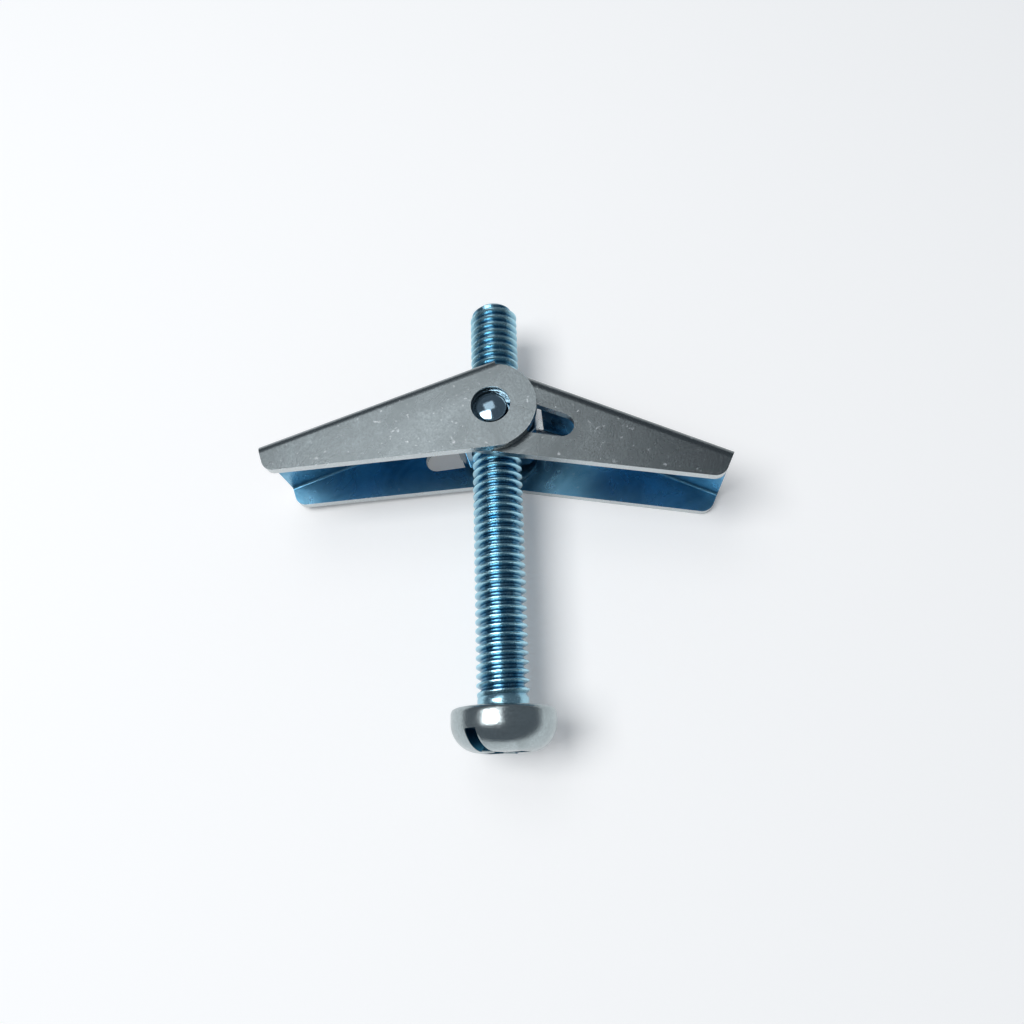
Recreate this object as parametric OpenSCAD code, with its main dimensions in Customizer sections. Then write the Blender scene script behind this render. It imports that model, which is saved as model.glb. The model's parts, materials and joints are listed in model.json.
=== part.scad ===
// Spring toggle bolt: a pan head machine screw, a trunnion nut that runs on its thread,
// two pressed wings that hinge on the nut's pins, and a torsion spring that opens them.
// +Y runs from the head to the tip of the screw, +X across the wings, +Z along the pins.
// The origin is the centre of the screw head's bearing face.

/* [Screw] */
// Outside diameter of the thread
thread_d = 5.9; // [4.8:0.1:7.2]
// Length from the bearing face to the tip
screw_len = 50; // [42:1:90]
// Diameter of the pan head
head_d = 11.5; // [9.6:0.1:14]
// Height of the pan head
head_h = 4.6; // [3.9:0.1:5.6]
// Radius where the pan head's side turns into its dome
head_edge_r = 3.1; // [1.6:0.1:3.2]
// Radius of the rim round the bearing face
head_rim_r = 0.6; // [0.2:0.1:0.7]
// Fillet between the shank and the bearing face
neck_fillet = 0.3; // [0.1:0.05:0.5]
// Chamfer at the tip of the screw
tip_chamfer = 0.9; // [0.4:0.1:1.3]
// Width of the drive slot
slot_w = 1.4; // [1:0.1:1.8]
// Depth of the drive slot at the middle of the head
slot_depth = 2.3; // [1:0.1:2.4]
// Width of one arm of the cross recess
cross_w = 1.5; // [1:0.1:1.8]
// Length of the cross recess from tip to tip
cross_len = 6.4; // [4:0.1:7.2]
// Depth of the cross recess
cross_depth = 2.8; // [2:0.1:3.2]
// How far the drive recess is turned about the screw
drive_turn = 57; // [0:1:90]

/* [Nut] */
// Distance of the nut's pin axis from the bearing face
nut_at = 33.6; // [33:0.1:60]
// Width of the nut body across the wings
nut_w = 10; // [8.4:0.1:10.6]
// Thickness of the nut body along the screw
nut_thick = 7.2; // [5.6:0.1:7.6]
// Chamfer on the nut's long corners on the head side
nut_chamfer = 1.3; // [1.2:0.1:1.8]
// Wall of the nut body beside the thread
nut_wall = 0.9; // [0.7:0.1:1.4]
// Diameter of the two pins
pin_d = 3.7; // [3:0.1:4.4]
// Height of the domed end of a pin
pin_dome = 0.4; // [0.2:0.05:0.6]
// How far the edge of a pin's end lies below the outer face of the wing round it
pin_recess = 0.65; // [0.3:0.05:0.8]
// Clearance between the screw and the nut's bore, on the radius
thread_clear = 0.03; // [0.02:0.01:0.1]

/* [Wings] */
// Thickness of the pressed sheet
sheet_t = 1.1; // [0.8:0.05:1.3]
// Length of a wing from the pin axis to its tip
wing_len = 27.3; // [23:0.1:30]
// Distance from the pin axis to the outer face of the web
web_out = 5.8; // [5.4:0.1:6.5]
// Radius of the round ear
ear_r = 5.3; // [4.4:0.1:6.4]
// Distance from the pin axis to the flat on the ear of the inner flange
ear_flat = 4.6; // [4:0.1:5]
// Angle between the web and the lower edge of a flange
taper = 15.6; // [12:0.1:17]
// Radius of the lower corner at the tip
tip_r = 1.5; // [0.5:0.1:2]
// Outside radius of the folds
fold_r = 1.4; // [1.35:0.05:2]
// Diameter of the pivot holes
hole_d = 4.6; // [4.5:0.1:5.6]
// Distance from the pin axis to the end of the assembly slot
slot_reach = 9.9; // [8:0.1:11]
// Radius of the assembly slot's narrow end
slot_end_r = 1.45; // [1:0.05:2]
// Droop of each wing below square to the screw when fully open
droop = 22.3; // [18:0.1:26]
// How far the open pair of wings has swung over to the left
swing = 4.2; // [0:0.1:5]
// Gap between a web's cut end and the corner of the nut that stops it
stop_gap = 0.1; // [0.05:0.05:0.2]
// Running gap between parts that slide on each other
run_gap = 0.05; // [0.03:0.01:0.1]

/* [Spring] */
// Diameter of the spring wire
wire_d = 0.5; // [0.4:0.05:0.6]
// Whole turns in the coil
turns = 2; // [1:1:3]
// Mean radius of the coil
coil_r = 3.2; // [3:0.1:3.4]
// Length of each leg from the coil's centre
leg_len = 10.5; // [9:0.1:12]

/* [Hidden] */
$fn = 64;
eps = 0.01;
// how far a round corner stands proud of the straight edges that it joins
seam = 0.02;
thread_r = thread_d / 2;
droop_right = droop + swing;
droop_left = droop - swing;
web_in = web_out - sheet_t;
// half the length of the nut body along the pins
nut_half = thread_r + nut_wall;
// coil: pitch, the lean of its legs towards the webs, its angle and its length
coil_pitch = wire_d + 0.02;
leg_gap = 0.1;
leg_lean = asin((web_in - wire_d / 2 - leg_gap - coil_r) / leg_len);
coil_angle = 360 * turns + droop_left + droop_right - 2 * leg_lean;
coil_rise = coil_pitch * coil_angle / 360;
coil_room = coil_rise + wire_d + 2 * run_gap;
// outer faces of the outer flanges, near (+Z) and far (-Z)
near_face = nut_half + 2 * sheet_t + 2 * run_gap;
far_face = near_face + coil_room;
// outside and inside width of one wing's channel, and its middle along Z
wing_w = near_face + far_face - sheet_t - run_gap;
inner_w = wing_w - 2 * sheet_t;
right_mid = wing_w / 2 - far_face;
left_mid = near_face - wing_w / 2;
// start of the web: its cut end stops beside the nut's corner when the wing is fully open
web_start = (nut_w / 2 + stop_gap - web_in * sin(droop_left)) / cos(droop_left);
// direction of a flange's lower edge seen from the pin axis, and the lower corner's centre
low_tan = [sin(taper), -cos(taper)];
tip_x = wing_len - tip_r + seam;
tip_c = [tip_x, (tip_r - ear_r) / cos(taper) + tip_x * tan(taper)];
// assembly slot: centre of its narrow end, and the lean of its sides
slot_c = (slot_reach - slot_end_r) * [cos(taper / 2), sin(taper / 2)];
slot_lean = asin((hole_d / 2 - slot_end_r) / (slot_reach - slot_end_r));

// ---- screw ----

// half section of the screw, turned about its axis
module screw_half_section() {
    square_up = head_h - head_edge_r;
    difference() {
        union() {
            polygon([[0, -eps], [thread_r, -eps], [thread_r, screw_len - tip_chamfer],
                     [thread_r - tip_chamfer, screw_len], [0, screw_len]]);
            square([thread_r + neck_fillet, neck_fillet]);
            translate([0, -square_up]) square([head_d / 2 - head_rim_r, square_up]);
            translate([0, -square_up]) square([head_d / 2, square_up - head_rim_r]);
            translate([head_d / 2 - head_rim_r, -head_rim_r]) circle(head_rim_r);
            translate([0, -head_h]) square([head_d / 2 - head_edge_r, head_edge_r + eps]);
            intersection() {
                translate([head_d / 2 - head_edge_r, -square_up]) circle(head_edge_r);
                translate([0, -head_h]) square([head_d / 2, head_edge_r]);
            }
        }
        translate([thread_r + neck_fillet, neck_fillet]) circle(neck_fillet);
    }
}

module drive_recess() {
    translate([0, 0, -head_h - eps]) {
        translate([-head_d, -slot_w / 2, 0]) cube([2 * head_d, slot_w, slot_depth + eps]);
        for (turn = [0, 90]) rotate(turn)
            translate([-cross_len / 2, -cross_w / 2, 0]) cube([cross_len, cross_w, cross_depth + eps]);
    }
}

module screw() {
    color("lightsteelblue") rotate([-90, 0, 0]) difference() {
        rotate_extrude() screw_half_section();
        rotate(drive_turn) drive_recess();
    }
}

// ---- trunnion nut ----

module pin(length) {
    // sphere radius that gives the dome its height over the pin's diameter
    dome_r = (pow(pin_d / 2, 2) + pow(pin_dome, 2)) / (2 * pin_dome);
    cylinder(d = pin_d, h = length);
    translate([0, 0, length]) intersection() {
        cylinder(d = pin_d, h = pin_dome);
        translate([0, 0, pin_dome - dome_r]) sphere(dome_r, $fn = 160);
    }
}

// block with the two long corners on the head side cut off
module nut_body() {
    half_w = nut_w / 2;
    half_t = nut_thick / 2;
    translate([0, 0, -nut_half]) linear_extrude(2 * nut_half)
        polygon([[-half_w, half_t], [-half_w, nut_chamfer - half_t], [nut_chamfer - half_w, -half_t],
                 [half_w - nut_chamfer, -half_t], [half_w, nut_chamfer - half_t], [half_w, half_t]]);
}

module trunnion_nut() {
    color("silver") translate([0, nut_at, 0]) difference() {
        union() {
            nut_body();
            pin(near_face - pin_recess);
            rotate([180, 0, 0]) pin(far_face - pin_recess);
        }
        rotate([90, 0, 0]) cylinder(r = thread_r + thread_clear, h = 2 * nut_thick, center = true);
    }
}

// ---- wings ----
// A stamping lies with its pin axis on Z, its web at +Y and its tip at +X. The outer
// flange, with the round hole, is on -Z, and the inner flange, with the slot, on +Z.

module flange_outline() {
    circle(ear_r);
    polygon([(ear_r - seam) * low_tan, tip_c + (tip_r - seam) * low_tan,
             [wing_len, tip_c.y], [wing_len, web_out],
             [-web_out * tan(droop), web_out], [-ear_r * sin(droop), 0], [0, 0]]);
    translate(tip_c) circle(tip_r);
}

// channel section across the wing, with rounded folds
module channel_section() {
    inner_r = fold_r - sheet_t;
    difference() {
        union() {
            translate([-wing_w / 2, -wing_len]) square([wing_w, wing_len + web_out - fold_r]);
            translate([fold_r - wing_w / 2, 0]) square([wing_w - 2 * fold_r, web_out]);
            for (side = [-1, 1])
                translate([side * (wing_w / 2 - fold_r), web_out - fold_r]) circle(fold_r);
        }
        translate([-inner_w / 2, -wing_len - eps]) square([inner_w, wing_len + web_in - inner_r + eps]);
        translate([inner_r - inner_w / 2, -eps]) square([inner_w - 2 * inner_r, web_in + eps]);
        for (side = [-1, 1])
            translate([side * (inner_w / 2 - inner_r), web_in - inner_r]) circle(inner_r);
    }
}

// the web is cut away over the nut, between the two flanges
module web_cut() {
    translate([-2 * ear_r, web_in - fold_r, -inner_w / 2])
        cube([2 * ear_r + web_start, fold_r + 2 * sheet_t, inner_w]);
}

// the inner flange's ear ends in a flat, square to the screw's head when the wing is open
module ear_flat_cut() {
    rotate(droop) translate([-ear_flat - ear_r, -ear_r - eps, inner_w / 2 - eps])
        cube([ear_r, 2 * ear_r + 2 * eps, sheet_t + 2 * eps]);
}

// keyhole slot: two round ends and the tangents between them
module assembly_slot() {
    up = taper / 2 + 90 - slot_lean;
    down = taper / 2 - 90 + slot_lean;
    wide = hole_d / 2 - seam;
    narrow = slot_end_r - seam;
    linear_extrude(wing_w) {
        circle(d = hole_d);
        translate(slot_c) circle(slot_end_r);
        polygon([wide * [cos(up), sin(up)], wide * [cos(down), sin(down)],
                 slot_c + narrow * [cos(down), sin(down)], slot_c + narrow * [cos(up), sin(up)]]);
    }
}

module wing_stamping() {
    difference() {
        intersection() {
            translate([-2 * ear_r, 0, 0]) rotate([0, 90, 0])
                linear_extrude(wing_len + 2 * ear_r) channel_section();
            translate([0, 0, -wing_w]) linear_extrude(2 * wing_w) flange_outline();
        }
        translate([0, 0, -wing_w]) cylinder(d = hole_d, h = wing_w);
        assembly_slot();
        web_cut();
        ear_flat_cut();
    }
}

module wing_right() {
    color("gray") translate([0, nut_at, right_mid]) rotate(-droop_right) wing_stamping();
}

module wing_left() {
    color("darkgray") translate([0, nut_at, left_mid])
        rotate(droop_left) rotate([0, 180, 0]) wing_stamping();
}

// ---- spring ----
// The coil lies round the far pin. Each leg leaves it at a tangent and presses its end
// on the inner face of a web.

coil_top = -nut_half - run_gap - wire_d / 2;
coil_steps = 24 * (turns + 1);
sides = 8;

// point on the coil at an angle about the pin, at a height
function coil_point(angle, z) = [coil_r * cos(angle), coil_r * sin(angle), z];
// the coil runs clockwise, seen from +Z, from the left leg to the right leg
left_angle = 90 + droop_left - leg_lean;
right_angle = left_angle - coil_angle;
left_dir = [cos(left_angle + 90), sin(left_angle + 90), 0];
right_dir = [cos(right_angle - 90), sin(right_angle - 90), 0];
wire_path = concat(
    [coil_point(left_angle, coil_top) + leg_len * left_dir],
    [for (i = [0:coil_steps])
        coil_point(left_angle - coil_angle * i / coil_steps, coil_top - coil_rise * i / coil_steps)],
    [coil_point(right_angle, coil_top - coil_rise) + leg_len * right_dir]);
// direction square to the wire in the plane of the coil, at each point of the path
wire_side = concat(
    [coil_point(left_angle, 0) / coil_r],
    [for (i = [0:coil_steps]) coil_point(left_angle - coil_angle * i / coil_steps, 0) / coil_r],
    [coil_point(right_angle, 0) / coil_r]);

module swept_wire(path, side, radius) {
    last = len(path) - 1;
    points = [for (i = [0:last]) for (k = [0:sides - 1])
        path[i] + radius * (cos(360 * k / sides) * side[i] + sin(360 * k / sides) * [0, 0, 1])];
    walls = [for (i = [0:last - 1]) for (k = [0:sides - 1])
        [i * sides + k, i * sides + (k + 1) % sides,
         (i + 1) * sides + (k + 1) % sides, (i + 1) * sides + k]];
    start = [for (k = [0:sides - 1]) sides - 1 - k];
    end = [for (k = [0:sides - 1]) last * sides + k];
    polyhedron(points, concat(walls, [start], [end]), convexity = 6);
}

module spring() {
    color("slategray") translate([0, nut_at, 0]) swept_wire(wire_path, wire_side, wire_d / 2);
}

screw();
trunnion_nut();
wing_left();
wing_right();
spring();
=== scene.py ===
import json
from math import asin, atan2, cos, hypot, pi, radians, sin, sqrt, tan
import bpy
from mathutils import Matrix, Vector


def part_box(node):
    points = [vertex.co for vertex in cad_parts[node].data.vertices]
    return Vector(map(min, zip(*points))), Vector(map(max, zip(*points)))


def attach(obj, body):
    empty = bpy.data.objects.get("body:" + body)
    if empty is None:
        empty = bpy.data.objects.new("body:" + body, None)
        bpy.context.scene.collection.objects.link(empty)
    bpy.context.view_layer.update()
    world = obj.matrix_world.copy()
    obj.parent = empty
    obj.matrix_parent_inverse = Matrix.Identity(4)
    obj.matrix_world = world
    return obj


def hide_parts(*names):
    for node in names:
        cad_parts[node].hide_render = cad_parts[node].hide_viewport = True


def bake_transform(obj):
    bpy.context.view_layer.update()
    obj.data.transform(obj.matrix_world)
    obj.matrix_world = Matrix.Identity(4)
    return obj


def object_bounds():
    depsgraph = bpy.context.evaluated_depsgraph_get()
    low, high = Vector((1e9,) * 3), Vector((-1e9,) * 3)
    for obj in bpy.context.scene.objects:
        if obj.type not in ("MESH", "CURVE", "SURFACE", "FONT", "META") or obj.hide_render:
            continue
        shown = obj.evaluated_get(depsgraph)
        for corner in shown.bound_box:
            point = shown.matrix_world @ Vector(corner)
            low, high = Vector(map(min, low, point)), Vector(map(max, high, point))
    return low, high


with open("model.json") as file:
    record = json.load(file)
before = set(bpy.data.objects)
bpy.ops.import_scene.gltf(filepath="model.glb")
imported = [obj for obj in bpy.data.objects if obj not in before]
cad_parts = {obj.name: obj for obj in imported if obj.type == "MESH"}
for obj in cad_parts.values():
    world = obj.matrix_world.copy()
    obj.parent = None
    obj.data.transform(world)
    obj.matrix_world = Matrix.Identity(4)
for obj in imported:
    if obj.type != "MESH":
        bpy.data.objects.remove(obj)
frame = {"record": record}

from types import SimpleNamespace

import bmesh
import bpy
from bpy.props import FloatProperty, FloatVectorProperty, IntProperty, PointerProperty
from mathutils import Euler, Matrix, Vector

bl_info = {
    "name": "Spring toggle bolt",
    "version": (1, 0, 0),
    "blender": (4, 5, 0),
    "location": "3D View > Sidebar > Toggle Bolt",
    "description": "Builds a spring toggle bolt: threaded screw, nut with pins, pressed wings and spring",
    "category": "Object",
}

# +Y runs from the head to the tip of the screw, +X across the wings, +Z along the nut's pins.
# Lengths in the property groups are in metres. Shapes are worked in millimetres and
# brought to metres when a piece is finished.
CAD_BOX = [list(corner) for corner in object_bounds()]
MM = 0.001
SHARP = radians(32)
# in millimetres: points closer than this are one point
WELD = 0.0005


def pivot_place():
    """The wings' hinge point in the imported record, in metres."""
    for joint in frame["record"]["behaviour"]["joints"]:
        if joint["name"] == "left_wing_fold":
            return joint["pos_m"]
    raise RuntimeError("the frame has no joint for the left wing")


# the screw's own box: the head sets its low end and its width, the tip its high end
HEAD_LOW, HEAD_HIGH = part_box("screw")


def length(name, description, default, low=0.0):
    """A length property in metres."""
    return FloatProperty(name=name, description=description, default=default, min=low,
                         unit="LENGTH", precision=5)


def angle(name, description, default):
    """An angle property whose default is given in degrees."""
    return FloatProperty(name=name, description=description, default=radians(default),
                         subtype="ANGLE", unit="ROTATION")


def colour(name, description, default):
    """A colour property."""
    return FloatVectorProperty(name=name, description=description, default=default, size=3,
                               min=0.0, max=1.0, subtype="COLOR")


def share(name, description, default, high=1.0):
    """A plain number property."""
    return FloatProperty(name=name, description=description, default=default, min=0.0, max=high)


# ---- sizes and colours ----

class ToggleScrewSizes(bpy.types.PropertyGroup):
    thread_diameter: length("Thread diameter", "Outside diameter of the thread", 0.0059)
    pitch: length("Pitch", "Distance between two turns of the thread", 0.001, 0.0004)
    thread_depth: length("Thread depth", "Depth of the thread from crest to root", 0.00058)
    length: length("Length", "Length from the bearing face to the tip", HEAD_HIGH.y)
    tip_chamfer: length("Tip chamfer", "Chamfer on the first thread at the tip", 0.0009)
    head_diameter: length("Head diameter", "Diameter of the pan head", HEAD_HIGH.x - HEAD_LOW.x)
    head_height: length("Head height", "Height of the pan head", -HEAD_LOW.y)
    head_edge: length("Head edge radius", "Radius between the head's side and its top", 0.0031)
    rim_round: length("Rim rounding", "Rounding of the rim round the bearing face", 0.0006)
    slot_width: length("Slot width", "Width of the drive slot", 0.0014)
    slot_depth: length("Slot depth", "Depth of the drive slot", 0.0023)
    neck_fillet: length("Neck fillet", "Fillet between the shank and the head", 0.0003)
    cross_width: length("Cross width", "Width of an arm of the cross recess", 0.0015)
    cross_span: length("Cross span", "Width across the cross recess", 0.0064)
    cross_depth: length("Cross depth", "Depth of the cross recess", 0.0028)
    drive_turn: angle("Drive turn", "Turn of the drive recess about the screw", 57)


class ToggleNutSizes(bpy.types.PropertyGroup):
    place: length("Place", "Distance of the pins from the head", pivot_place()[1])
    width: length("Width", "Width of the nut across the wings", 0.01)
    thickness: length("Thickness", "Thickness of the nut along the screw", 0.0072)
    chamfer: length("Chamfer", "Chamfer on the nut's long corners on the head side", 0.0013)
    wall: length("Wall", "Wall of the nut beside the thread", 0.0009)
    pin_diameter: length("Pin diameter", "Diameter of the two pins", 0.0037)
    pin_dome: length("Pin dome", "Height of a pin's domed end", 0.0004)
    pin_recess: length("Pin recess", "Depth of a pin's edge below the wing's outer face", 0.00065)
    bore_clearance: length("Bore clearance", "Gap between the screw and the bore", 0.00003)
    edge_round: length("Edge rounding", "Rounding of the nut's edges", 0.00018)


class ToggleWingSizes(bpy.types.PropertyGroup):
    sheet: length("Sheet", "Thickness of the pressed sheet", 0.0011)
    reach: length("Reach", "Length of a wing from the pins to its tip", 0.0273)
    web_out: length("Web height", "Distance from the pins to the outer face of the web", 0.0058)
    ear: length("Ear radius", "Radius of the round ear", 0.0053)
    ear_flat: length("Ear flat", "Distance from the pins to the flat of the inner ear", 0.0046)
    taper: angle("Taper", "Angle between the web and the lower edge of a flange", 15.6)
    tip_round: length("Tip rounding", "Radius of the lower corner at the tip", 0.0015)
    fold_round: length("Fold radius", "Outside radius of the folds", 0.0014)
    hole: length("Hole diameter", "Diameter of the pivot holes", 0.0046)
    slot_reach: length("Slot reach", "Distance from the pins to the end of the slot", 0.0099)
    slot_round: length("Slot end radius", "Radius of the slot's narrow end", 0.00145)
    droop: angle("Droop", "Mean droop of the open wings below square to the screw", 22.3)
    swing: angle("Swing", "How far the open pair has swung over to the left", 4.2)
    stop_gap: length("Stop gap", "Gap between a web's cut end and the nut", 0.0001)
    run_gap: length("Running gap", "Gap between parts that slide on each other", 0.00005)
    edge_round: length("Edge rounding", "Rounding of the punched edges", 0.00012)


class ToggleSpringSizes(bpy.types.PropertyGroup):
    wire: length("Wire diameter", "Diameter of the spring wire", 0.0005)
    coil: length("Coil radius", "Mean radius of the coil", 0.0032)
    leg: length("Leg length", "Length of each leg", 0.0105)
    turns: IntProperty(name="Turns", description="Whole turns in the coil", default=2, min=1)


class ToggleFinishes(bpy.types.PropertyGroup):
    wing_zinc: colour("Wing zinc", "Satin zinc on the outside of the wings", (0.32, 0.365, 0.38))
    wing_dull: colour("Dull zinc", "Duller patches on the outside of the wings", (0.22, 0.25, 0.26))
    # painted shade: the insides of the wings are painted dark blue, and the pale colour mixed in by
    # patches is painted glare
    wing_inside_shade: colour("Blue film", "Blue passivated inside of the wings", (0.04, 0.2, 0.34))
    wing_inside_glare: colour("Pale film", "Paler patches on the inside of the wings", (0.27, 0.58, 0.8))
    # painted highlight: the punched edges are painted brighter than the flanges
    wing_edge_highlight: colour("Bright edge", "Bright punched edges", (0.68, 0.73, 0.74))
    screw_crest: colour("Thread crest", "Crests of the thread", (0.46, 0.78, 0.91))
    # painted shade: the thread is painted dark blue in its roots
    screw_root_shade: colour("Thread root", "Roots of the thread", (0.015, 0.15, 0.29))
    # painted shade: the drive recess is painted dark blue
    recess_shade: colour("Recess blue", "Blue zinc left in the drive recess", (0.02, 0.13, 0.22))
    head_zinc: colour("Head zinc", "Zinc on the screw's head", (0.5, 0.575, 0.59))
    nut_zinc: colour("Nut zinc", "Bright zinc on the nut", (0.32, 0.46, 0.56))
    spring_wire: colour("Spring wire", "Drawn wire of the spring", (0.36, 0.38, 0.41))
    # painted shade: the right wing's outside zinc is painted darker than the left's
    right_shade_tone: share("Right wing tone", "Lightness of the right wing beside the left one", 0.72)
    grain: share("Grain", "Strength of the fine grain in the zinc", 0.85)
    marks: share("Handling marks", "Strength of the scratches and specks", 0.5)


class ToggleStage(bpy.types.PropertyGroup):
    floor_colour: colour("Floor", "Colour of the floor", (0.97, 0.97, 0.97))
    floor_glow: share("Floor glow", "Strength of the floor's own faint light", 0.17)
    sky_colour: colour("Room", "Colour of the light all round", (0.78, 0.88, 1.0))
    sky_strength: share("Room strength", "Strength of the light all round", 0.2, 10.0)
    window_power: FloatProperty(name="Window power", description="Power of the large soft light",
                                default=0.22, min=0.0, unit="POWER")
    fill_power: FloatProperty(name="Fill power", description="Power of the light on the left",
                              default=1.9, min=0.0, unit="POWER")
    window_place: FloatVectorProperty(name="Window place", description="Centre of the large soft light",
                                      default=(-0.085, 0.25, 0.45), subtype="TRANSLATION", unit="LENGTH")
    window_size: FloatVectorProperty(name="Window size", description="Sides of the large soft light",
                                     default=(0.24, 0.24), size=2, min=0.0, unit="LENGTH")
    fill_place: FloatVectorProperty(name="Fill place", description="Centre of the light on the left",
                                    default=(-0.2, 0.0, 0.5), subtype="TRANSLATION", unit="LENGTH")
    fill_size: FloatVectorProperty(name="Fill size", description="Sides of the light on the left",
                                   default=(0.26, 0.3), size=2, min=0.0, unit="LENGTH")
    camera_place: FloatVectorProperty(name="Camera place", description="Where the camera stands",
                                      default=(0.00885, -0.00959, 0.08894), subtype="TRANSLATION",
                                      unit="LENGTH", precision=5)
    camera_turn: FloatVectorProperty(name="Camera turn", description="How the camera is turned",
                                     default=[radians(a) for a in (20.009, 6.662, -1.244)],
                                     subtype="EULER", unit="ROTATION")
    lens: FloatProperty(name="Lens", description="Focal length in millimetres", default=28.375, min=5.0)
    shift: FloatVectorProperty(name="Shift", description="Shift of the lens", default=(0.02016, -0.00486),
                               size=2)


def in_millimetres(group):
    """A property group's values, with its lengths in millimetres."""
    values = {}
    for name, prop in group.bl_rna.properties.items():
        if name not in ("rna_type", "name"):
            values[name] = getattr(group, name)
            if prop.type == "FLOAT" and prop.unit == "LENGTH" and not prop.is_array:
                values[name] /= MM
    return SimpleNamespace(**values)


def fitted_sizes(scene):
    """The sizes of all the pieces in millimetres, with those that follow from how they fit."""
    screw = in_millimetres(scene.toggle_screw)
    nut = in_millimetres(scene.toggle_nut)
    wing = in_millimetres(scene.toggle_wing)
    spring = in_millimetres(scene.toggle_spring)
    screw.radius = screw.thread_diameter / 2
    wing.droop_right = wing.droop + wing.swing
    wing.droop_left = wing.droop - wing.swing
    wing.web_in = wing.web_out - wing.sheet
    nut.half = screw.radius + nut.wall
    # the spring's legs lean a little towards the webs, and the coil takes up the rest of the turn
    spring_gap = 0.1
    coil_gap = 0.02
    coil_pitch = spring.wire + coil_gap
    lean = asin((wing.web_in - spring.wire / 2 - spring_gap - spring.coil) / spring.leg)
    spring.angle = 2 * pi * spring.turns + wing.droop_left + wing.droop_right - 2 * lean
    spring.rise = coil_pitch * spring.angle / (2 * pi)
    spring.top = -nut.half - wing.run_gap - spring.wire / 2
    spring.left = pi / 2 + wing.droop_left - lean
    # the near outer flange, the far outer flange and the channel between the flanges
    wing.near = nut.half + 2 * wing.sheet + 2 * wing.run_gap
    wing.far = wing.near + spring.rise + spring.wire + 2 * wing.run_gap
    wing.across = wing.near + wing.far - wing.sheet - wing.run_gap
    wing.between = wing.across - 2 * wing.sheet
    wing.right_mid = wing.across / 2 - wing.far
    wing.left_mid = wing.near - wing.across / 2
    reach = nut.width / 2 + wing.stop_gap - wing.web_in * sin(wing.droop_left)
    wing.web_start = reach / cos(wing.droop_left)
    return SimpleNamespace(screw=screw, nut=nut, wing=wing, spring=spring)


# ---- mesh helpers ----

def vertices_of(made):
    """The vertices in the result of a mesh operator."""
    return [item for item in made if isinstance(item, bmesh.types.BMVert)]


def swept_arc(bm, start, centre, turn, steps):
    """Turns a vertex about a centre in the XY plane, leaves an arc, and returns its last vertex."""
    made = bmesh.ops.spin(bm, geom=[start], cent=centre, axis=(0, 0, 1), dvec=(0, 0, 0),
                          angle=turn, steps=steps, use_merge=False)
    return vertices_of(made["geom_last"])[0]


def raise_face(bm, face, push):
    """Extrudes a face and moves the new end."""
    made = bmesh.ops.extrude_face_region(bm, geom=[face])["geom"]
    bmesh.ops.translate(bm, verts=vertices_of(made), vec=push)


def add_box(bm, low, high):
    """Adds a box between two corners, and returns its vertices."""
    low, high = Vector(low), Vector(high)
    size = Matrix.Diagonal((*(high - low), 1))
    made = bmesh.ops.create_cube(bm, size=1, matrix=Matrix.Translation((low + high) / 2) @ size)
    return made["verts"]


def turned_shape(bm, profile, steps):
    """Spins a chain of (radius, height) points about the Y axis into a closed shape."""
    chain = [bm.verts.new((radius, height, 0)) for radius, height in profile]
    edges = [bm.edges.new(pair) for pair in zip(chain, chain[1:])]
    bmesh.ops.spin(bm, geom=chain + edges, cent=(0, 0, 0), axis=(0, 1, 0), dvec=(0, 0, 0),
                   angle=2 * pi, steps=steps, use_merge=True)
    bmesh.ops.remove_doubles(bm, verts=bm.verts, dist=WELD)
    bmesh.ops.recalc_face_normals(bm, faces=bm.faces)


def rounded_corner(corner, radius, start, end, steps):
    """Points of an arc about a corner's centre, from one angle to another, in degrees."""
    points = []
    for step in range(steps + 1):
        a = radians(start + (end - start) * step / steps)
        points.append((corner[0] + radius * cos(a), corner[1] + radius * sin(a)))
    return points


def stand_in(bm, name):
    """A passing object that holds a copy of a bmesh for a modifier."""
    mesh = bpy.data.meshes.new(name)
    bm.to_mesh(mesh)
    bm.free()
    made = bpy.data.objects.new(name, mesh)
    bpy.context.scene.collection.objects.link(made)
    return made


def combined(bm, tool, operation):
    """Joins, cuts or crosses two closed shapes, uses both up, and returns the result."""
    base, other = stand_in(bm, "base"), stand_in(tool, "tool")
    change = base.modifiers.new("combine", "BOOLEAN")
    change.operation = operation
    change.solver = "EXACT"
    change.object = other
    graph = bpy.context.evaluated_depsgraph_get()
    mesh = bpy.data.meshes.new_from_object(base.evaluated_get(graph))
    result = bmesh.new()
    result.from_mesh(mesh)
    for passing in (base, other):
        old = passing.data
        bpy.data.objects.remove(passing)
        bpy.data.meshes.remove(old)
    bpy.data.meshes.remove(mesh)
    bmesh.ops.remove_doubles(result, verts=result.verts, dist=WELD)
    bmesh.ops.dissolve_degenerate(result, edges=result.edges, dist=WELD)
    return result


def depth_in_corner(point, half, top, radius):
    """How far a point of the section lies inside a round-cornered shape, open at its foot."""
    z, y = abs(point.z), point.y
    if z > half - radius and y > top - radius:
        return radius - hypot(z - (half - radius), y - (top - radius))
    return min(half - z, top - y)


def round_edges(bm, offset, segments=2, least=radians(40)):
    """Bevels every edge where two faces meet at more than the least angle."""
    edges = [e for e in bm.edges if e.is_manifold and e.calc_face_angle() > least]
    bmesh.ops.bevel(bm, geom=edges, offset=offset, offset_type="OFFSET", segments=segments,
                    profile=0.5, affect="EDGES", clamp_overlap=True, material=-1)
    bmesh.ops.remove_doubles(bm, verts=bm.verts, dist=WELD)


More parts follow.
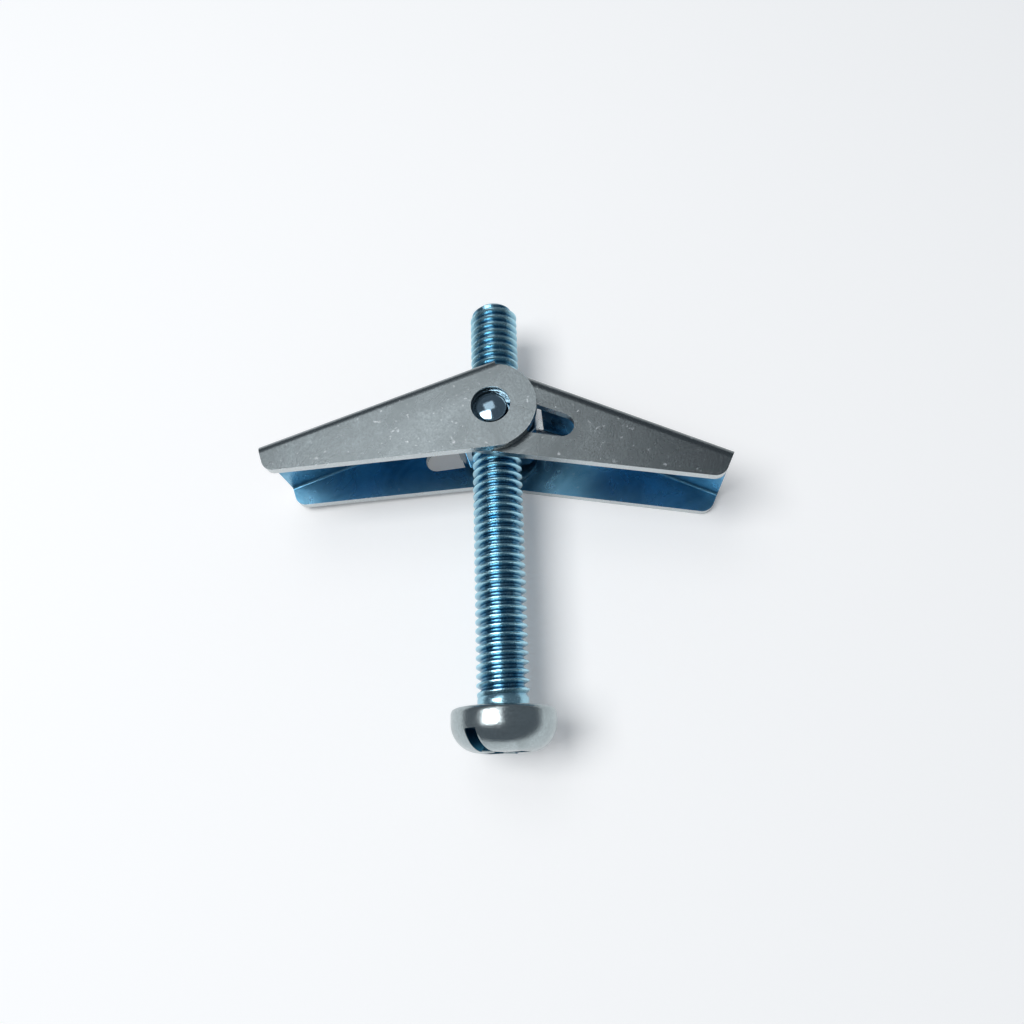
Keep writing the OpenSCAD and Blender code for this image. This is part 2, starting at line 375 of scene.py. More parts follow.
def finish_piece(bm, name, materials, node):
    """Turns a shape in millimetres into a finished piece in metres that stands for a node."""
    bmesh.ops.recalc_face_normals(bm, faces=bm.faces)
    for face in bm.faces:
        face.smooth = True
    for edge in bm.edges:
        edge.smooth = edge.is_manifold and edge.calc_face_angle() < SHARP
    bm.transform(Matrix.Scale(MM, 4))
    mesh = bpy.data.meshes.new(name)
    bm.to_mesh(mesh)
    bm.free()
    for material in materials:
        mesh.materials.append(material)
    piece = bpy.data.objects.new(name, mesh)
    bpy.context.scene.collection.objects.link(piece)
    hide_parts(node)
    return piece


def even_shading(piece):
    """Lets the large faces set the shading, so that rounded edges stay crisp."""
    change = piece.modifiers.new("even shading", "WEIGHTED_NORMAL")
    change.keep_sharp = True
    change.weight = 80


# ---- materials ----

def named_group(name, inputs, outputs):
    """A shader node group with named sockets: (name, kind, default), and its two end nodes."""
    tree = bpy.data.node_groups.new(name, "ShaderNodeTree")
    for title, kind, default in inputs:
        socket = tree.interface.new_socket(title, in_out="INPUT", socket_type="NodeSocket" + kind)
        if default is not None:
            socket.default_value = default
    for title, kind in outputs:
        tree.interface.new_socket(title, in_out="OUTPUT", socket_type="NodeSocket" + kind)
    return tree, tree.nodes.new("NodeGroupInput"), tree.nodes.new("NodeGroupOutput")


def node(tree, kind, links=None, **settings):
    """Adds a shader node; links maps an input's name or number to a socket or a value."""
    made = tree.nodes.new("ShaderNode" + kind)
    for key, value in settings.items():
        setattr(made, key, value)
    for key, value in (links or {}).items():
        if isinstance(value, bpy.types.NodeSocket):
            tree.links.new(value, made.inputs[key])
        else:
            made.inputs[key].default_value = value
    return made


def ramp(tree, value, low, high, to_low=0.0, to_high=1.0):
    """Maps a value from one range onto another, and keeps within it."""
    return node(tree, "MapRange", {"Value": value, "From Min": low, "From Max": high,
                                   "To Min": to_low, "To Max": to_high}).outputs["Result"]


def times(tree, a, b):
    """Multiplies two values."""
    return node(tree, "Math", {0: a, 1: b}, operation="MULTIPLY").outputs[0]


def blended(tree, mask, a, b):
    """Mixes two colours by a mask."""
    mix = node(tree, "Mix", data_type="RGBA")
    for key, value in (("Factor", mask), ("A", a), ("B", b)):
        socket = next(s for s in mix.inputs if s.name == key and s.enabled)
        if isinstance(value, bpy.types.NodeSocket):
            tree.links.new(value, socket)
        else:
            socket.default_value = value
    return next(s for s in mix.outputs if s.enabled)


def grain_group():
    """Fine crystal grain and broad cloudy patches of a zinc coat."""
    tree, start, end = named_group(
        "Zinc Grain",
        [("Vector", "Vector", None), ("Grain Size", "Float", 9000.0), ("Patch Size", "Float", 260.0)],
        [("Grain", "Float"), ("Patches", "Float")])
    fine = node(tree, "TexNoise", {"Vector": start.outputs["Vector"], "Scale": start.outputs["Grain Size"],
                                   "Detail": 4.0, "Roughness": 0.65})
    broad = node(tree, "TexNoise", {"Vector": start.outputs["Vector"],
                                    "Scale": start.outputs["Patch Size"],
                                    "Detail": 3.0, "Roughness": 0.6, "Distortion": 0.6})
    tree.links.new(ramp(tree, fine.outputs["Fac"], 0.3, 0.7), end.inputs["Grain"])
    tree.links.new(ramp(tree, broad.outputs["Fac"], 0.32, 0.68), end.inputs["Patches"])
    return tree


def marks_group():
    """Thin scratches and small light specks from handling."""
    tree, start, end = named_group(
        "Handling Marks",
        [("Vector", "Vector", None), ("Turn", "Float", 0.5), ("Scratch Size", "Float", 420.0),
         ("Speck Size", "Float", 1500.0)],
        [("Scratches", "Float"), ("Specks", "Float")])
    turned = node(tree, "VectorRotate", {"Vector": start.outputs["Vector"],
                                         "Angle": start.outputs["Turn"]}, rotation_type="Z_AXIS")
    long_way = node(tree, "VectorMath", {0: turned.outputs["Vector"], 1: (0.06, 1.0, 1.0)},
                    operation="MULTIPLY")
    lines = node(tree, "TexNoise", {"Vector": long_way.outputs["Vector"],
                                    "Scale": start.outputs["Scratch Size"],
                                    "Detail": 5.0, "Roughness": 0.7})
    specks = node(tree, "TexNoise", {"Vector": start.outputs["Vector"],
                                     "Scale": start.outputs["Speck Size"],
                                     "Detail": 2.0, "Roughness": 0.5})
    tree.links.new(ramp(tree, lines.outputs["Fac"], 0.64, 0.76), end.inputs["Scratches"])
    tree.links.new(ramp(tree, specks.outputs["Fac"], 0.66, 0.77), end.inputs["Specks"])
    return tree


def shared_group(name, build):
    """The node group of that name, built the first time."""
    return bpy.data.node_groups.get(name) or build()


def metal(name):
    """A new metal with its object coordinates, and the nodes that the caller goes on from."""
    material = bpy.data.materials.new(name)
    material.use_nodes = True
    tree = material.node_tree
    shader = tree.nodes["Principled BSDF"]
    shader.inputs["Metallic"].default_value = 1.0
    place = node(tree, "TexCoord").outputs["Object"]
    return material, tree, shader, place


def rgba(value):
    """A colour with its alpha."""
    return (*value, 1.0)


def duller(value, tone):
    """A colour with each channel brought down by a tone."""
    return [channel * tone for channel in value]


def zinc(name, light, dark, finishes, roughness, spread, grain_size=9000.0, patch_size=260.0,
         marks=1.0, turn=0.5, bump=0.00002):
    """A zinc coat: two tones in patches, fine grain, scratches and specks."""
    grain_depth, scratch_share, speck_share = 0.45, 0.5, 0.8
    material, tree, shader, place = metal(name)
    grain = node(tree, "Group", node_tree=shared_group("Zinc Grain", grain_group))
    tree.links.new(place, grain.inputs["Vector"])
    grain.inputs["Grain Size"].default_value = grain_size
    grain.inputs["Patch Size"].default_value = patch_size
    wear = node(tree, "Group", node_tree=shared_group("Handling Marks", marks_group))
    tree.links.new(place, wear.inputs["Vector"])
    wear.inputs["Turn"].default_value = turn
    base = blended(tree, grain.outputs["Patches"], rgba(dark), rgba(light))
    darker = duller(light, 1 - grain_depth * finishes.grain)
    base = blended(tree, times(tree, grain.outputs["Grain"], finishes.grain), base, rgba(darker))
    strength = finishes.marks * marks
    scratched = times(tree, wear.outputs["Scratches"], scratch_share * strength)
    base = blended(tree, scratched, base, (0.8, 0.83, 0.85, 1.0))
    specked = times(tree, wear.outputs["Specks"], speck_share * strength)
    base = blended(tree, specked, base, (0.86, 0.89, 0.92, 1.0))
    tree.links.new(base, shader.inputs["Base Color"])
    rough = ramp(tree, grain.outputs["Patches"], 0.0, 1.0, roughness + spread, roughness - spread)
    tree.links.new(rough, shader.inputs["Roughness"])
    relief = node(tree, "Bump", {"Height": grain.outputs["Grain"], "Strength": 0.35, "Distance": bump})
    tree.links.new(relief.outputs["Normal"], shader.inputs["Normal"])
    return material


def thread_zinc(finishes, sizes):
    """Blue zinc on the thread: pale on the crests, and painted shade that darkens it deep in the roots."""
    stain_tone, stain_share = 0.62, 0.55
    root_margin, crest_margin = 0.00008, 0.00003
    material, tree, shader, place = metal("screw thread zinc")
    grain = node(tree, "Group", node_tree=shared_group("Zinc Grain", grain_group))
    tree.links.new(place, grain.inputs["Vector"])
    grain.inputs["Grain Size"].default_value = 5200.0
    grain.inputs["Patch Size"].default_value = 700.0
    across = node(tree, "VectorMath", {0: place, 1: (1.0, 0.0, 1.0)}, operation="MULTIPLY")
    radius = node(tree, "VectorMath", {0: across.outputs["Vector"]}, operation="LENGTH").outputs["Value"]
    # painted shade: the colour runs from the crest colour down to the root's dark colour as the radius
    # falls into the roots
    crest = sizes.radius * MM
    root = (sizes.radius - sizes.thread_depth) * MM
    height = ramp(tree, radius, root + root_margin, crest - crest_margin)
    base = blended(tree, height, rgba(finishes.screw_root_shade), rgba(finishes.screw_crest))
    stain = duller(finishes.screw_crest, stain_tone)
    base = blended(tree, times(tree, grain.outputs["Patches"], stain_share), base, rgba(stain))
    tree.links.new(base, shader.inputs["Base Color"])
    rough = ramp(tree, grain.outputs["Grain"], 0.0, 1.0, 0.14, 0.3)
    tree.links.new(rough, shader.inputs["Roughness"])
    relief = node(tree, "Bump", {"Height": grain.outputs["Grain"], "Strength": 0.3, "Distance": 0.00003})
    tree.links.new(relief.outputs["Normal"], shader.inputs["Normal"])
    return material


def floor_finish(tint, glow):
    """Plain matt floor with a faint glow."""
    material = bpy.data.materials.new("pale floor")
    material.use_nodes = True
    tree = material.node_tree
    shader = tree.nodes["Principled BSDF"]
    shader.inputs["Roughness"].default_value = 0.9
    shader.inputs["Specular IOR Level"].default_value = 0.1
    shader.inputs["Base Color"].default_value = rgba(tint)
    shader.inputs["Emission Color"].default_value = rgba(tint)
    shader.inputs["Emission Strength"].default_value = glow
    return material


# ---- screw ----

def threaded_rod(screw):
    """A rod along Y with a true helical thread, a chamfered tip and a short plain neck."""
    crest, root = screw.radius, screw.radius - screw.thread_depth
    steps = 48
    # the rod starts inside the head, and the sweep runs past both of its ends
    below, spare_turns = 0.6, 3
    turns = int((screw.length + below) / screw.pitch) + spare_turns
    # one turn of the thread: half a root, a flank, the crest, a flank and half a root
    root_round, crest_round = 0.02, 0.03
    chain = ((0, root), (0.11, root + root_round), (0.4, crest - crest_round), (0.44, crest),
             (0.56, crest), (0.6, crest - crest_round), (0.89, root + root_round), (1, root))
    bm = bmesh.new()
    verts = [bm.verts.new((r, -below - screw.pitch + y * screw.pitch, 0)) for y, r in chain]
    edges = [bm.edges.new(pair) for pair in zip(verts, verts[1:])]
    bmesh.ops.spin(bm, geom=verts + edges, cent=(0, 0, 0), axis=(0, 1, 0),
                   dvec=(0, screw.pitch / steps, 0), angle=2 * pi * turns, steps=steps * turns,
                   use_merge=False)
    bmesh.ops.remove_doubles(bm, verts=bm.verts, dist=0.001)
    for height, outer in ((-below, False), (screw.length, True)):
        bmesh.ops.bisect_plane(bm, geom=bm.verts[:] + bm.edges[:] + bm.faces[:], dist=0.0001,
                               plane_co=(0, height, 0), plane_no=(0, 1, 0),
                               clear_inner=not outer, clear_outer=outer)
    bmesh.ops.holes_fill(bm, edges=[e for e in bm.edges if e.is_boundary], sides=0)
    # the chamfer at the tip, and the plain neck with its fillet under the head
    neck, run_out, core = 0.9, 2.0, 0.1
    plain = root + 0.8 * screw.thread_depth
    for vert in bm.verts:
        radius = hypot(vert.co.x, vert.co.z)
        if radius < core:
            continue
        limit = crest - max(0.0, vert.co.y - (screw.length - screw.tip_chamfer))
        faded = min(1.0, max(0.0, (run_out - vert.co.y) / (run_out - neck)))
        wanted = min(radius + (plain - radius) * faded, limit)
        low = min(1.0, max(0.0, 1 - vert.co.y / screw.neck_fillet))
        wanted += screw.neck_fillet * (1 - sqrt(1 - low ** 2))
        vert.co.x *= wanted / radius
        vert.co.z *= wanted / radius
    bmesh.ops.recalc_face_normals(bm, faces=bm.faces)
    return bm


def pan_head(screw):
    """The pan head with its drive recess."""
    spare, corner_round = 0.5, 0.09
    slot_flare, arm_flare = 1.12, 1.1
    arm_end, arm_foot = 0.42, 0.7
    radius, top, edge = screw.head_diameter / 2, screw.head_height, screw.head_edge
    rim = screw.rim_round
    profile = [(0, 0), (radius - rim, 0)]
    profile += rounded_corner((radius - rim, -rim), rim, 90, 0, steps=5)[1:]
    profile += rounded_corner((radius - edge, edge - top), edge, 0, -90, steps=20)
    profile += [(0, -top)]
    bm = bmesh.new()
    turned_shape(bm, profile, steps=128)

    tool = bmesh.new()
    outside = top + spare
    slot = add_box(tool, (-radius - spare, -outside, -screw.slot_width / 2),
                   (radius + spare, screw.slot_depth - top, screw.slot_width / 2))
    for vert in slot:
        if vert.co.y < -top:
            vert.co.z *= slot_flare
    turn = Matrix.Rotation(screw.drive_turn, 4, "Y")
    tool.transform(turn)
    bm = combined(bm, tool, "DIFFERENCE")
    for quarter in (0, 1):
        tool = bmesh.new()
        arm = add_box(tool, (-screw.cross_span / 2, -outside, -screw.cross_width / 2),
                      (screw.cross_span / 2, screw.cross_depth - top, screw.cross_width / 2))
        for vert in arm:
            if vert.co.y > -top:
                vert.co.x *= arm_end
                vert.co.z *= arm_foot
            else:
                vert.co.z *= arm_flare
        tool.transform(turn @ Matrix.Rotation(quarter * pi / 2, 4, "Y"))
        bm = combined(bm, tool, "DIFFERENCE")
    round_edges(bm, corner_round, segments=2, least=radians(38))
    return bm


def mark_screw(bm, screw):
    """Thread 0, the head's skin 1 and the walls of the drive recess 2, which are painted dark as painted
    shade.
    """
    skin, bearing = 0.06, 0.02
    for face in bm.faces:
        centre = face.calc_center_median()
        outline = Vector((0, -centre.y, hypot(centre.x, centre.z)))
        depth = depth_in_corner(outline, screw.head_diameter / 2, screw.head_height, screw.head_edge)
        below_rim = centre.y < -screw.head_height / 4
        face.material_index = 0 if centre.y > bearing else 2 if below_rim and depth > skin else 1


class TOGGLE_OT_screw(bpy.types.Operator):
    """Build the machine screw with its helical thread and pan head"""
    bl_idname = "toggle.screw"
    bl_label = "Screw"

    def execute(self, context):
        sizes = fitted_sizes(context.scene)
        finishes = context.scene.toggle_finishes
        bm = combined(threaded_rod(sizes.screw), pan_head(sizes.screw), "UNION")
        mark_screw(bm, sizes.screw)
        # painted shade: the recess walls get a dark blue zinc
        recess = zinc("screw recess zinc", finishes.recess_shade, duller(finishes.recess_shade, 0.7),
                      finishes, roughness=0.3, spread=0.05, marks=0.2)
        head = zinc("screw head zinc", finishes.head_zinc, duller(finishes.head_zinc, 0.8),
                    finishes, roughness=0.2, spread=0.05, grain_size=5200.0, patch_size=420.0, marks=0.5)
        piece = finish_piece(bm, "machine_screw",
                             [thread_zinc(finishes, sizes.screw), head, recess], "screw")
        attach(piece, "screw")
        return {"FINISHED"}


# ---- nut ----

def nut_block(nut):
    """The nut's body about the pins' axis, with its two long corners cut off."""
    bm = bmesh.new()
    half_width, half_thick = nut.width / 2, nut.thickness / 2
    add_box(bm, (-half_width, -half_thick, -nut.half), (half_width, half_thick, nut.half))
    corners = [e for e in bm.edges
               if all(v.co.y < 0 for v in e.verts) and abs(e.verts[0].co.z - e.verts[1].co.z) > 1]
    bmesh.ops.bevel(bm, geom=corners, offset=nut.chamfer, offset_type="OFFSET", segments=1,
                    profile=0.5, affect="EDGES", clamp_overlap=True, material=-1)
    return bm


def pins(nut, wing):
    """The two pins as one bar along Z with a dome at each end."""
    radius = nut.pin_diameter / 2
    dome = (radius ** 2 + nut.pin_dome ** 2) / (2 * nut.pin_dome)
    spread = asin(radius / dome)
    near, far = wing.near - nut.pin_recess, -wing.far + nut.pin_recess
    steps, shoulder = 8, 0.12
    # the dome from its middle to its edge: (radius, height above the edge)
    arc = [(dome * sin(spread * step / steps), dome * cos(spread * step / steps) - dome + nut.pin_dome)
           for step in range(steps + 1)]
    profile = [(reach, far - rise) for reach, rise in arc[:-1]]
    profile += [(radius, far), (radius, far + shoulder), (radius, near - shoulder)]
    profile += [(reach, near + rise) for reach, rise in reversed(arc)]
    bm = bmesh.new()
    turned_shape(bm, profile, steps=72)
    bm.transform(Matrix.Rotation(pi / 2, 4, "X"))
    return bm


class TOGGLE_OT_nut(bpy.types.Operator):
    """Build the nut with its two pins"""
    bl_idname = "toggle.nut"
    bl_label = "Nut"

    def execute(self, context):
        sizes = fitted_sizes(context.scene)
        nut, finishes = sizes.nut, context.scene.toggle_finishes
        bore = bmesh.new()
        radius = sizes.screw.radius + nut.bore_clearance
        bmesh.ops.create_cone(bore, cap_ends=True, segments=96, radius1=radius, radius2=radius,
                              depth=2 * nut.thickness, matrix=Matrix.Rotation(pi / 2, 4, "X"))
        bm = combined(nut_block(nut), pins(nut, sizes.wing), "UNION")
        bm = combined(bm, bore, "DIFFERENCE")
        round_edges(bm, nut.edge_round, segments=3)
        bmesh.ops.translate(bm, verts=bm.verts, vec=(0, nut.place, 0))
        coat = zinc("nut bright zinc", finishes.nut_zinc, duller(finishes.nut_zinc, 0.86),
                    finishes, roughness=0.09, spread=0.02, marks=0.2, turn=1.3, bump=0.000005)
        piece = finish_piece(bm, "trunnion_nut_body", [coat], "trunnion_nut")
        even_shading(piece)
        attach(piece, "nut")
        return {"FINISHED"}


# ---- wings ----
# A stamping lies with the pins' axis on Z, its web at +Y and its tip at +X. The outer
# flange, with the round hole, is on -Z, and the inner flange, with the slot, on +Z.

def channel_bar(wing):
    """A bar of channel along X with rounded folds."""
    half, inner, foot = wing.across / 2, wing.between / 2, -wing.reach
    corners = ((-half, foot), (-half, wing.web_out), (half, wing.web_out), (half, foot),
               (inner, foot), (inner, wing.web_in), (-inner, wing.web_in), (-inner, foot))
    start = -2 * wing.ear
    bm = bmesh.new()
    verts = [bm.verts.new((start, y, z)) for z, y in corners]
    bm.faces.new(verts)
    for pair, radius in ((verts[1:3], wing.fold_round), (verts[5:7], wing.fold_round - wing.sheet)):
        bmesh.ops.bevel(bm, geom=pair, offset=radius, offset_type="OFFSET", segments=9, profile=0.5,
                        affect="VERTICES", clamp_overlap=False, material=-1)
    spare = 1
    raise_face(bm, bm.faces[:][0], (wing.reach + spare - start, 0, 0))
    bmesh.ops.recalc_face_normals(bm, faces=bm.faces)
    return bm


def flange_blank(wing):
    """The side outline of a wing as a block through both flanges."""
    slope = Vector((sin(wing.taper), -cos(wing.taper), 0))
    tip_x = wing.reach - wing.tip_round
    tip = Vector((tip_x, (wing.tip_round - wing.ear) / cos(wing.taper) + tip_x * tan(wing.taper), 0))
    heel = Vector((-wing.web_out * tan(wing.droop), wing.web_out, 0))
    side = Vector((-wing.ear * sin(wing.droop), 0, 0))
    # where the heel's straight side meets the ear
    along = (side - heel).normalized()
    back = heel.dot(along)
    meet = heel + along * (-back - sqrt(back ** 2 - heel.length_squared + wing.ear ** 2))
    bm = bmesh.new()
    first = bm.verts.new(heel)
    top = bm.verts.new((wing.reach, wing.web_out, 0))
    nose = bm.verts.new((wing.reach, tip.y, 0))
    low = swept_arc(bm, nose, tip, -(pi / 2 - wing.taper), steps=10)
    ear_start = bm.verts.new(slope * wing.ear)
    turn = 2 * pi - (pi / 2 - wing.taper) - atan2(meet.y, meet.x)
    ear_end = swept_arc(bm, ear_start, (0, 0, 0), -turn, steps=64)
    for pair in ((first, top), (top, nose), (low, ear_start), (ear_end, first)):
        bm.edges.new(pair)
    face = bmesh.ops.contextual_create(bm, geom=bm.edges[:])["faces"][0]
    raise_face(bm, face, (0, 0, 2 * wing.across))
    bmesh.ops.translate(bm, verts=bm.verts, vec=(0, 0, -wing.across))
    bmesh.ops.recalc_face_normals(bm, faces=bm.faces)
    return bm


def wing_cuts(wing):
    """Everything that is punched or cut out of a wing: hole, keyhole slot, web end and ear flat."""
    bm = bmesh.new()
    # the keyhole slot first, while it is the only shape here
    axis = wing.taper / 2
    hole = wing.hole / 2
    middle = (wing.slot_reach - wing.slot_round) * Vector((cos(axis), sin(axis), 0))
    lean = asin((hole - wing.slot_round) / middle.length)
    up, down = axis + pi / 2 - lean, axis - pi / 2 + lean
    wide = bm.verts.new((hole * cos(up), hole * sin(up), 0))
    wide_end = swept_arc(bm, wide, (0, 0, 0), 2 * pi - (up - down), steps=48)
    narrow = bm.verts.new(middle + wing.slot_round * Vector((cos(down), sin(down), 0)))
    narrow_end = swept_arc(bm, narrow, middle, up - down, steps=24)
    bm.edges.new((wide_end, narrow))
    bm.edges.new((narrow_end, wide))
    face = bmesh.ops.contextual_create(bm, geom=bm.edges[:])["faces"][0]
    raise_face(bm, face, (0, 0, wing.across))
    # the round hole goes through the outer flange only
    spare = 1
    bmesh.ops.create_cone(bm, cap_ends=True, segments=72, radius1=hole, radius2=hole,
                          depth=wing.across - spare,
                          matrix=Matrix.Translation((0, 0, -(wing.across + spare) / 2)))
    add_box(bm, (-2 * wing.ear, wing.web_in - wing.fold_round, -wing.between / 2),
            (wing.web_start, wing.web_out + wing.sheet, wing.between / 2))
    over, under = 0.1, 0.01
    flat = add_box(bm, (-wing.ear_flat - wing.ear, -wing.ear - over, wing.between / 2 - under),
                   (-wing.ear_flat, wing.ear + over, wing.across))
    bmesh.ops.rotate(bm, verts=flat, cent=(0, 0, 0), matrix=Matrix.Rotation(wing.droop, 3, "Z"))
    bmesh.ops.recalc_face_normals(bm, faces=bm.faces)
    return bm


def mark_skins(bm, wing):
    """Outer skin 0, inner skin 1 with its painted shade and glare, and punched edges 2 with their painted
    highlight, by where a face lies in the channel.
    """
    near, along = 0.012, 0.05
    for face in bm.faces:
        centre = face.calc_center_median()
        outer = abs(depth_in_corner(centre, wing.across / 2, wing.web_out, wing.fold_round))
        inner = abs(depth_in_corner(centre, wing.between / 2, wing.web_in, wing.fold_round - wing.sheet))
        flat = abs(face.normal.x) < along
        face.material_index = 0 if flat and outer < near else 1 if flat and inner < near else 2


def pressed_wing(wing):
    """One pressed wing in its own frame."""
    bm = combined(channel_bar(wing), flange_blank(wing), "INTERSECT")
    bm = combined(bm, wing_cuts(wing), "DIFFERENCE")
    round_edges(bm, wing.edge_round)
    bm.normal_update()
    mark_skins(bm, wing)
    return bm


def wing_coats(finishes, side, turn):
    """Outside, inside and edge finishes of one wing."""
    # painted shade: this tone darkens the right wing's outside zinc
    tone = finishes.right_shade_tone if side == "right" else 1.0
    outside = zinc(side + " wing satin zinc", duller(finishes.wing_zinc, tone),
                   duller(finishes.wing_dull, tone), finishes, roughness=0.26, spread=0.03,
                   grain_size=3800.0, patch_size=200.0, turn=turn)
    # painted shade: the inside is painted dark blue, with pale patches as painted glare
    inside = zinc(side + " wing blue zinc", finishes.wing_inside_glare, finishes.wing_inside_shade,
                  finishes, roughness=0.29, spread=0.04, patch_size=180.0, marks=0.35, turn=turn)
    # painted highlight: the edges are painted brighter than the flanges
    edge = zinc(side + " wing bright edge", finishes.wing_edge_highlight, duller(finishes.wing_edge_highlight, 0.9),
                finishes, roughness=0.26, spread=0.04, marks=0.2, turn=turn)
    return [outside, inside, edge]


class TOGGLE_OT_wings(bpy.types.Operator):
    """Build the two pressed wings"""
    bl_idname = "toggle.wings"
    bl_label = "Wings"

    def execute(self, context):
        sizes = fitted_sizes(context.scene)
        wing, finishes = sizes.wing, context.scene.toggle_finishes
        right = Matrix.Translation((0, sizes.nut.place, wing.right_mid)) @ \
            Matrix.Rotation(-wing.droop_right, 4, "Z")
        left = Matrix.Translation((0, sizes.nut.place, wing.left_mid)) @ \
            Matrix.Rotation(wing.droop_left, 4, "Z") @ Matrix.Rotation(pi, 4, "Y")
        for side, place, turn in (("left", left, 0.35), ("right", right, -0.6)):
            bm = pressed_wing(wing)
            bm.transform(place)
            piece = finish_piece(bm, side + "_wing_pressing",
                                 wing_coats(finishes, side, turn), "wing_" + side)
            even_shading(piece)
            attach(piece, side + "_wing")
        return {"FINISHED"}


# ---- spring ----

def half_spring(spring, hand):
    """Half the coil and its leg about the pins' axis; hand is 1 for the left leg, -1 for the right."""
    middle_angle = spring.left - spring.angle / 2
    middle_height = spring.top - spring.rise / 2
    steps = 48
    bm = bmesh.new()
    ring = bmesh.ops.create_circle(bm, segments=12, radius=spring.wire / 2)["verts"]
    edges = bm.edges[:]
    # the ring stands across the wire at the coil's middle
    stand = Matrix.Rotation(middle_angle, 4, "Z") @ Matrix.Translation((spring.coil, 0, middle_height)) @ \
        Matrix.Rotation(pi / 2, 4, "X")
    bmesh.ops.transform(bm, verts=ring, matrix=stand)
    bmesh.ops.contextual_create(bm, geom=edges)
    made = bmesh.ops.spin(bm, geom=ring + edges, cent=(0, 0, 0), axis=(0, 0, 1),
                          dvec=(0, 0, hand * spring.rise / 2 / steps), angle=hand * spring.angle / 2,
                          steps=steps, use_merge=False)
    last = [item for item in made["geom_last"] if isinstance(item, bmesh.types.BMEdge)]
    end_angle = middle_angle + hand * spring.angle / 2
    onward = hand * Vector((-sin(end_angle), cos(end_angle), 0))
    for part in (0.3, 0.35, 0.35):
        grown = bmesh.ops.extrude_edge_only(bm, edges=last)["geom"]
        bmesh.ops.translate(bm, verts=vertices_of(grown), vec=onward * spring.leg * part)
        last = [item for item in grown if isinstance(item, bmesh.types.BMEdge)]
        last = [e for e in last if e.is_boundary]
    bmesh.ops.contextual_create(bm, geom=last)
    return bm, onward, end_angle


class TOGGLE_OT_spring(bpy.types.Operator):
    """Build the torsion spring in two halves that follow the wings"""
    bl_idname = "toggle.spring"
    bl_label = "Spring"

    def execute(self, context):
        sizes = fitted_sizes(context.scene)
        spring, finishes = sizes.spring, context.scene.toggle_finishes
        wire = zinc("spring drawn wire", finishes.spring_wire, duller(finishes.spring_wire, 0.8),
                    finishes, roughness=0.25, spread=0.05, marks=0.2)
        for side, hand in (("left", 1), ("right", -1)):
            bm, onward, end_angle = half_spring(spring, hand)
            bmesh.ops.translate(bm, verts=bm.verts, vec=(0, sizes.nut.place, 0))
            piece = finish_piece(bm, side + "_half_of_spring", [wire], "spring")
            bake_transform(piece)
        return {"FINISHED"}


# ---- stage ----

def soft_light(name, place, target, size, power):
    """A white soft light that faces a point."""
    data = bpy.data.lights.new(name, "AREA")
    data.shape = "RECTANGLE"
    data.size, data.size_y = size
    data.energy = power
    made = bpy.data.objects.new(name, data)
    made.location = place
    made.rotation_euler = (Vector(target) - Vector(place)).to_track_quat("-Z", "Y").to_euler()
    bpy.context.scene.collection.objects.link(made)


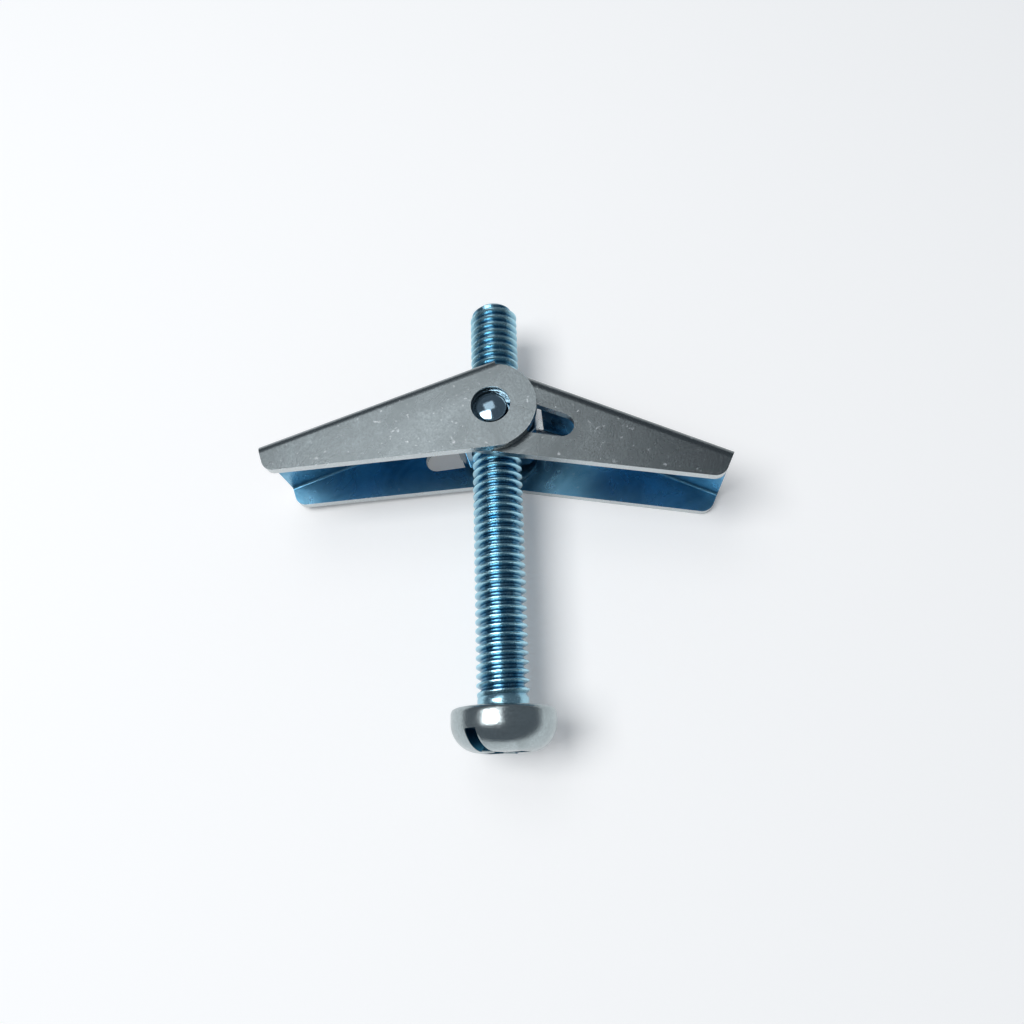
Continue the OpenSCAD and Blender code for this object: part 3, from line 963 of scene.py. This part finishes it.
class TOGGLE_OT_stage(bpy.types.Operator):
    """Set the floor, the lights and the camera"""
    bl_idname = "toggle.stage"
    bl_label = "Stage"

    def execute(self, context):
        stage = context.scene.toggle_stage
        below, half_width = 0.00002, 1.5
        bm = bmesh.new()
        bmesh.ops.create_grid(bm, x_segments=1, y_segments=1, size=half_width,
                              matrix=Matrix.Translation((0, 0, CAD_BOX[0][2] - below)))
        mesh = bpy.data.meshes.new("floor")
        bm.to_mesh(mesh)
        bm.free()
        mesh.materials.append(floor_finish(stage.floor_colour, stage.floor_glow))
        floor = bpy.data.objects.new("floor", mesh)
        context.scene.collection.objects.link(floor)

        world = bpy.data.worlds.new("soft room")
        world.use_nodes = True
        sky = world.node_tree.nodes["Background"]
        sky.inputs["Color"].default_value = rgba(stage.sky_colour)
        sky.inputs["Strength"].default_value = stage.sky_strength
        context.scene.world = world
        context.scene.view_settings.view_transform = "Standard"

        # both lights face the middle of the part
        middle = (0, 0.023, 0)
        soft_light("window", stage.window_place, middle, stage.window_size, stage.window_power)
        soft_light("fill", stage.fill_place, middle, stage.fill_size, stage.fill_power)

        data = bpy.data.cameras.new("camera")
        data.lens = stage.lens
        data.sensor_width = 36
        data.shift_x, data.shift_y = stage.shift
        data.clip_start = 0.005
        camera = bpy.data.objects.new("camera", data)
        camera.location = stage.camera_place
        camera.rotation_euler = Euler(stage.camera_turn)
        context.scene.collection.objects.link(camera)
        context.scene.camera = camera
        return {"FINISHED"}


# ---- panel and registration ----

GROUPS = (
    ("toggle_screw", ToggleScrewSizes, "toggle.screw"),
    ("toggle_nut", ToggleNutSizes, "toggle.nut"),
    ("toggle_wing", ToggleWingSizes, "toggle.wings"),
    ("toggle_spring", ToggleSpringSizes, "toggle.spring"),
    ("toggle_finishes", ToggleFinishes, None),
    ("toggle_stage", ToggleStage, "toggle.stage"),
)


class TOGGLE_PT_panel(bpy.types.Panel):
    """Sizes, finishes and build buttons of the toggle bolt"""
    bl_idname = "TOGGLE_PT_panel"
    bl_label = "Toggle Bolt"
    bl_space_type = "VIEW_3D"
    bl_region_type = "UI"
    bl_category = "Toggle Bolt"

    def draw(self, context):
        for name, group, operator in GROUPS:
            box = self.layout.box()
            values = getattr(context.scene, name)
            for key in group.__annotations__:
                box.prop(values, key)
            if operator:
                box.operator(operator)


OPERATORS = (TOGGLE_OT_screw, TOGGLE_OT_nut, TOGGLE_OT_wings, TOGGLE_OT_spring, TOGGLE_OT_stage)


def register():
    for name, group, _ in GROUPS:
        bpy.utils.register_class(group)
        setattr(bpy.types.Scene, name, PointerProperty(type=group))
    for made in (*OPERATORS, TOGGLE_PT_panel):
        bpy.utils.register_class(made)


def unregister():
    for made in reversed((*OPERATORS, TOGGLE_PT_panel)):
        bpy.utils.unregister_class(made)
    for name, group, _ in reversed(GROUPS):
        delattr(bpy.types.Scene, name)
        bpy.utils.unregister_class(group)


def main():
    """Builds every piece and the stage."""
    register()
    bpy.ops.toggle.screw()
    bpy.ops.toggle.nut()
    bpy.ops.toggle.wings()
    bpy.ops.toggle.spring()
    bpy.ops.toggle.stage()


if __name__ == "__main__":
    main()
